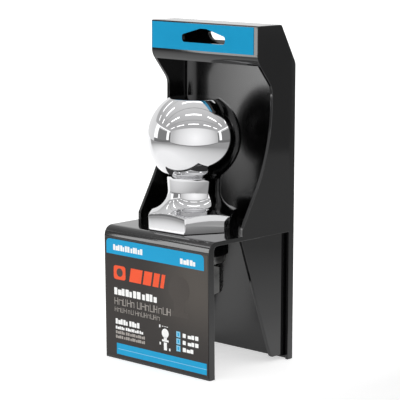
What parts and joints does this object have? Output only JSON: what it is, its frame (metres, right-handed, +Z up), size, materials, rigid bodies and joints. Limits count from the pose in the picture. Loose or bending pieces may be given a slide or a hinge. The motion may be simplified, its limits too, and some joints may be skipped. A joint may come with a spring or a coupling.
{
  "type": "trailer hitch ball in a display carrier",
  "caption": "Chromed trailer hitch ball with wrench hexagon, threaded shank, lock washer and nut, bolted through the shelf of a black moulded hanging display carrier.",
  "frame": {"origin": "centre of the footprint on the surface the carrier stands on", "axes": "+Z up along the ball's axis, +Y to the carrier's back panel, +X across to the viewer's right when facing the front label"},
  "size_m": [0.073, 0.064, 0.1723],
  "materials": {
    "carrier_plastic": "glossy black injection-moulded polystyrene",
    "label_blue": "printed and laminated blue label",
    "label_grey": "printed and laminated dark grey label",
    "ball_chrome": "polished chrome plate on forged steel",
    "washer_steel": "bright zinc plate",
    "nut_steel": "bright zinc plate"
  },
  "bodies": {
    "carrier": {"display_carrier": "carrier_plastic", "header_label": "label_blue", "front_label": "label_grey"},
    "ball": {"trailer_ball": "ball_chrome"},
    "washer": {"lock_washer": "washer_steel"},
    "nut": {"hex_nut": "nut_steel"}
  },
  "joints": [
    {"name": "ball_turn", "type": "hinge", "parent": "carrier", "child": "ball", "pos_m": [0, -0.0036, 0.069], "axis": [0, 0, 1], "continuous": true},
    {"name": "washer_drop", "type": "slide", "parent": "ball", "child": "washer", "axis": [0, 0, -1], "range_m": [0, 0.0242]},
    {"name": "nut_turn", "type": "hinge", "parent": "washer", "child": "nut", "pos_m": [0, -0.0036, 0.0519], "axis": [0, 0, -1], "range_deg": [0, 5490]}
  ],
  "couplings": [
    {"joint": "nut_turn", "follows": "washer_drop", "rad_per_m": 3957.9}
  ]
}
